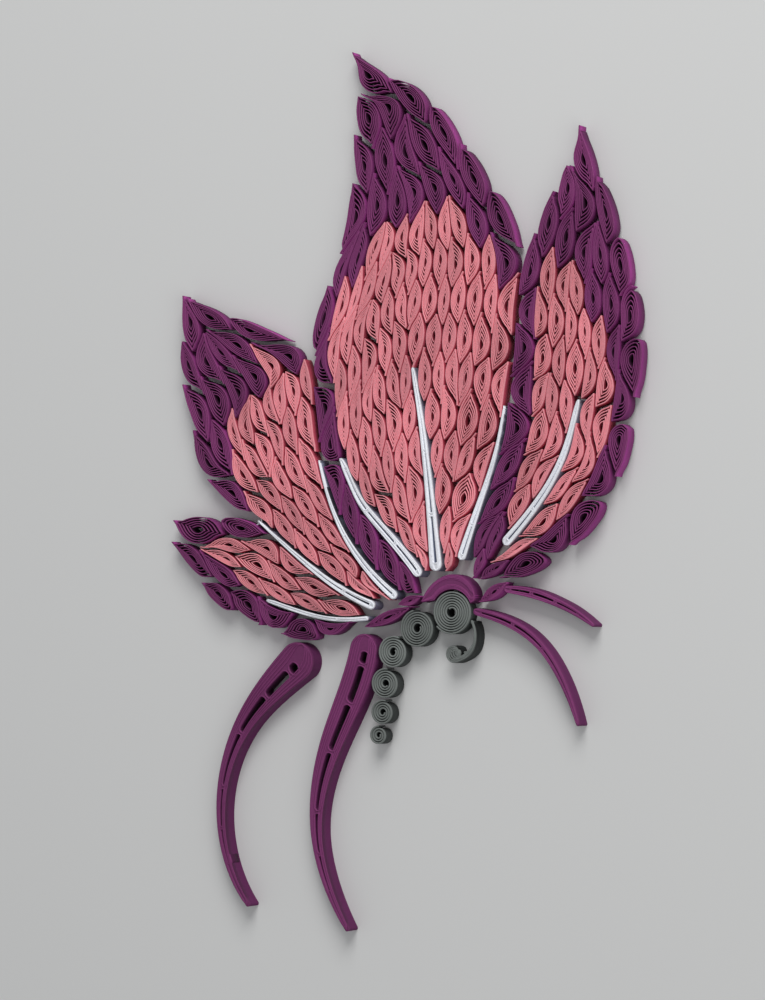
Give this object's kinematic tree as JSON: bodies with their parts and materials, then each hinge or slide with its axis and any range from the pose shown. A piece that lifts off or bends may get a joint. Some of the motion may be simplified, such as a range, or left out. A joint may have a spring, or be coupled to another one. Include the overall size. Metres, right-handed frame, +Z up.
{
  "type": "quilled paper butterfly",
  "caption": "Flat quilled paper butterfly with pointed wings, two long tails, two antennae and a row of round body coils, made from strip standing on edge.",
  "frame": {"origin": "centre of the bounding box, on the flat underside", "axes": "+Y from the tails to the wing tips, +X across the wings, +Z up from the surface it lies on, along the strip's width"},
  "size_m": [0.0888, 0.147, 0.0032],
  "materials": {
    "pink_paper": "matte",
    "purple_paper": "matte",
    "white_paper": "matte",
    "grey_paper": "matte"
  },
  "bodies": {
    "root": {"antenna_lower": "purple_paper", "antenna_upper": "purple_paper", "body_coil_2": "grey_paper", "body_coil_3": "grey_paper", "body_coil_4": "grey_paper", "body_coil_5": "grey_paper", "body_coil_6": "grey_paper", "centre_wing_pink_1": "pink_paper", "centre_wing_pink_2": "pink_paper", "centre_wing_pink_3": "pink_paper", "centre_wing_pink_4": "pink_paper", "centre_wing_purple_1": "purple_paper", "centre_wing_purple_2": "purple_paper", "centre_wing_purple_3": "purple_paper", "centre_wing_purple_4": "purple_paper", "centre_wing_purple_5": "purple_paper", "crown_coil": "purple_paper", "head_coil": "grey_paper", "left_wing_pink_1": "pink_paper", "left_wing_pink_2": "pink_paper", "left_wing_pink_3": "pink_paper", "left_wing_purple_3": "purple_paper", "left_wing_purple_4": "purple_paper", "lower_wing_pink_1": "pink_paper", "lower_wing_pink_2": "pink_paper", "lower_wing_purple_1": "purple_paper", "lower_wing_purple_2": "purple_paper", "lower_wing_purple_3": "purple_paper", "right_wing_pink_1": "pink_paper", "right_wing_pink_2": "pink_paper", "right_wing_pink_3": "pink_paper", "right_wing_purple_1": "purple_paper", "right_wing_purple_2": "purple_paper", "right_wing_purple_3": "purple_paper", "right_wing_purple_4": "purple_paper", "root_coil_left": "purple_paper", "root_coil_middle": "purple_paper", "root_coil_right": "purple_paper", "tail_left": "purple_paper", "tail_right": "purple_paper", "tongue": "grey_paper", "vein_centre_left": "white_paper", "vein_centre_middle": "white_paper", "vein_centre_right": "white_paper", "vein_left_border": "white_paper", "vein_left_middle": "white_paper", "vein_lower": "white_paper", "vein_right": "white_paper"}
  },
  "joints": []
}
